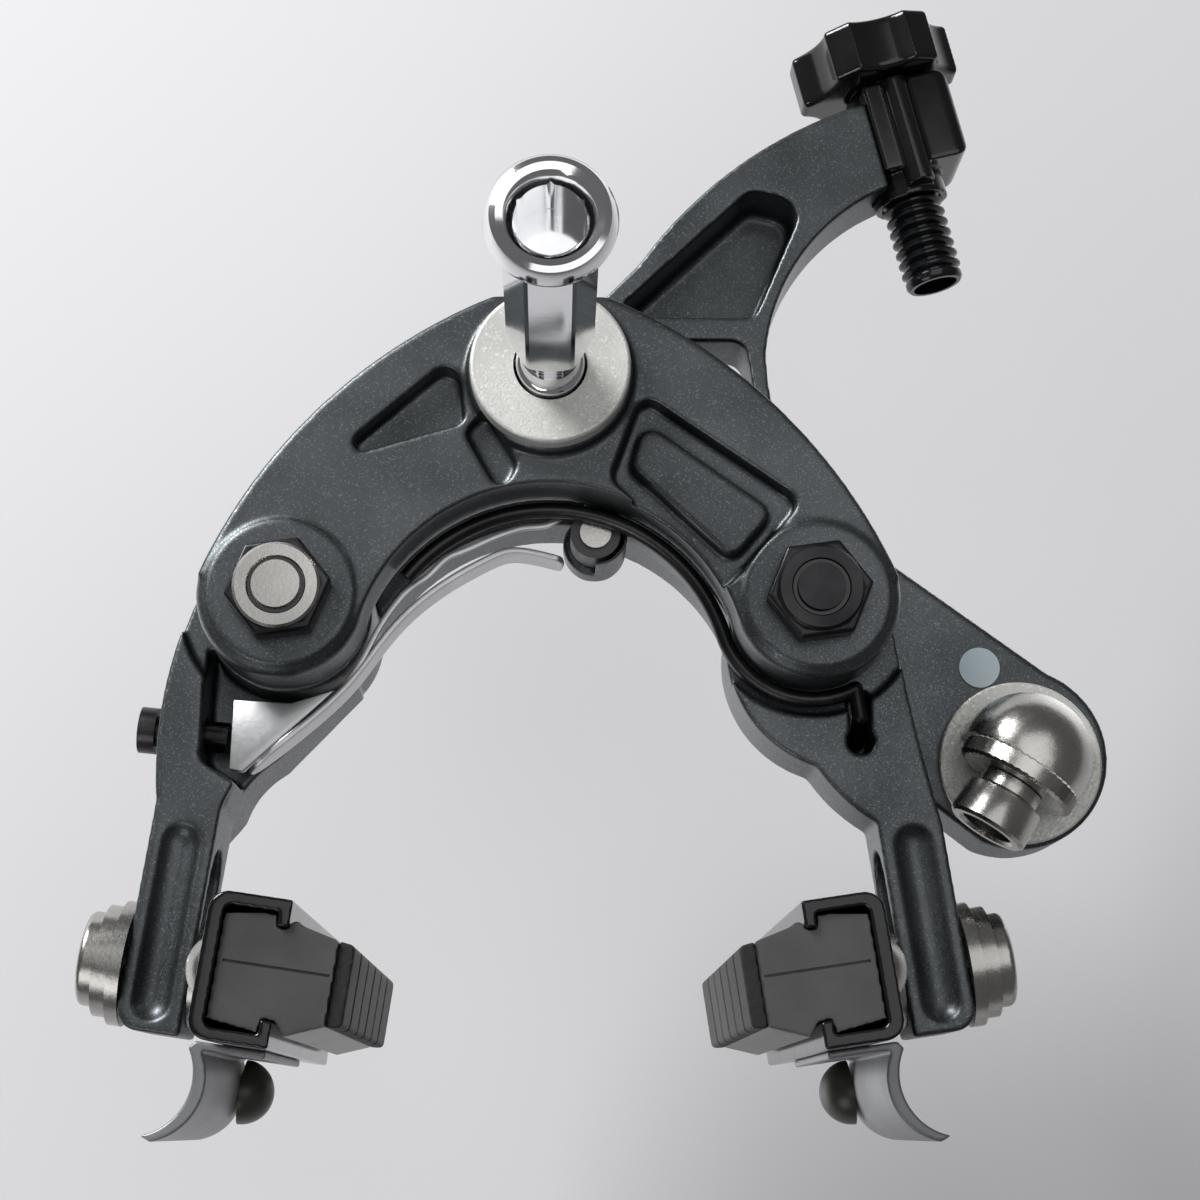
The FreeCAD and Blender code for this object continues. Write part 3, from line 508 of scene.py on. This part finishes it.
# ---- sleeve nut with a rounded flange and flats along its barrel -------------------
sleeve = lathe(
    "sleeve_nut",
    [(0.0, -31.5), (2.9, -31.5), (2.9, -36.6), (3.3, -37.4), (3.7, -37.8), (4.3, -37.97),
     (4.8, -37.8), (5.2, -37.2), (5.38, -36.4), (5.2, -35.6), (4.8, -35.0), (4.2, -34.7),
     (3.95, -34.4), (3.95, -9.4), (3.4, -8.5), (2.97, -8.5), (2.97, -30.5), (0.0, -30.5),
     (0.0, -31.5)],
    (0, 0, 0), INWARDS, steps=120, sharp=28.0)
carve(sleeve, prism("nut_socket", 6, 2.65 * HEX, (0, -0.0343, 0), INWARDS, 5.4))
for flat_number in range(6):
    turn = Matrix.Rotation(math.radians(60 * flat_number), 4, "Y")
    beside_barrel = Matrix.Translation((0, -0.0215, -0.00462))
    carve(sleeve, block((8, 25.6, 2.2), turn @ beside_barrel))
activate(sleeve)
smooth_below(24)
place(sleeve, "recessed_nut")


# ---- pressed centering lever: a tail, an upper flange and a web ----------------------
def thicken(sheet, thick, edge):
    """Give the sheet its thickness, even about its middle, and round its edges."""
    apply_modifier(sheet, "SOLIDIFY", thickness=thick * MM, offset=0)
    apply_modifier(sheet, "BEVEL", width=edge * MM, segments=2)


def ribbon(name, line, front, back, thick):
    """Strip of sheet on a line of (x, z) millimetres, from front to back in depth."""
    strip = draw(name, [(x, front, z) for x, z in line])
    bpy.ops.mesh.extrude_region_move(
        TRANSFORM_OT_translate={"value": (0, (back - front) * MM, 0)})
    bpy.ops.mesh.select_all(action="SELECT")
    bpy.ops.mesh.normals_make_consistent(inside=False)
    apply_modifier(strip, "SUBSURF", levels=2, render_levels=2)
    thicken(strip, thick, edge=0.12)
    return strip


upper_flange = ribbon(
    "lever_upper_flange",
    [(-20.0, -29.2), (-17.6, -25.6), (-16.4, -22.6), (-14.2, -19.4), (-12.7, -18.1),
     (-11.6, -17.6), (-10.1, -15.6), (-8.8, -15.2), (-7.4, -14.6), (-5.6, -13.7),
     (-4.0, -13.1), (-2.6, -12.6), (-1.4, -12.6), (-0.2, -12.5), (1.2, -11.6)],
    front=11.7, back=12.3, thick=0.55)
web = ribbon(
    "lever_web",
    [(-28.6, -36.4), (-23.4, -32.2), (-18.9, -28.2), (-16.2, -24.0), (-13.4, -20.6),
     (-9.4, -17.6), (-6.8, -16.2), (-4.4, -14.9), (-2.8, -14.9), (-1.2, -15.2), (0.4, -15.6),
     (1.4, -15.9)],
    front=11.7, back=16.1, thick=0.6)
TAIL_DEPTH = 12.1
tail_outline = [(-29.8, -29.6), (-30.0, -36.2), (-28.7, -36.5), (-20.2, -28.6), (-24.4, -29.9)]
tail = draw("centering_lever_pressed", [(x, TAIL_DEPTH, z) for x, z in tail_outline])
bpy.ops.mesh.edge_face_add()
thicken(tail, 0.9, edge=0.18)
upper_flange.select_set(True)
web.select_set(True)
bpy.ops.object.join()
smooth_below(40)
place(tail, "centering_lever")


# ---- moulded and pressed shapes with rounded edges ---------------------------------
worn_edges("adjuster_knob", "star_knob", voxel=0.14, passes=6, keep=0.6)
worn_edges("adjuster_collar", "collar_moulding", voxel=0.14, passes=6, keep=0.5)
worn_edges("quick_release_lever", "release_blade", voxel=0.22, passes=6, keep=0.8)

SHOE_LEAN = math.radians(8.5)
SHOE_BACK = (28.9, -55.7)      # x and z of the middle of a holder's back, in millimetres
PARTING = (6.4, 0.5)           # from there towards the rim, and up the leg


def parting_line(hand):
    """Blade for the mould's parting line in a backing. hand is -1 on the left, 1 on the right."""
    u, v = PARTING
    x = SHOE_BACK[0] - u * math.cos(SHOE_LEAN) - v * math.sin(SHOE_LEAN)
    z = SHOE_BACK[1] - u * math.sin(SHOE_LEAN) + v * math.cos(SHOE_LEAN)
    middle = Matrix.Translation((hand * x * MM, -0.0114, z * MM))
    return block((9.0, 1.1, 0.24), middle @ Matrix.Rotation(-hand * SHOE_LEAN, 4, "Y"))


for side, hand in (("left", -1), ("right", 1)):
    worn_edges(side + "_shoe_holder", side + "_channel", voxel=0.17, passes=3, keep=0.35)
    backing = worn_edges(
        side + "_pad_carrier", side + "_backing", voxel=0.20, passes=5, keep=0.45)
    worn_edges(side + "_friction_block", side + "_rubber", voxel=0.20, passes=3, keep=0.8)
    worn_edges(side + "_wheel_guide", side + "_fin", voxel=0.14, passes=4, keep=0.4)
    carve(backing, parting_line(hand))
    smooth_below(30)
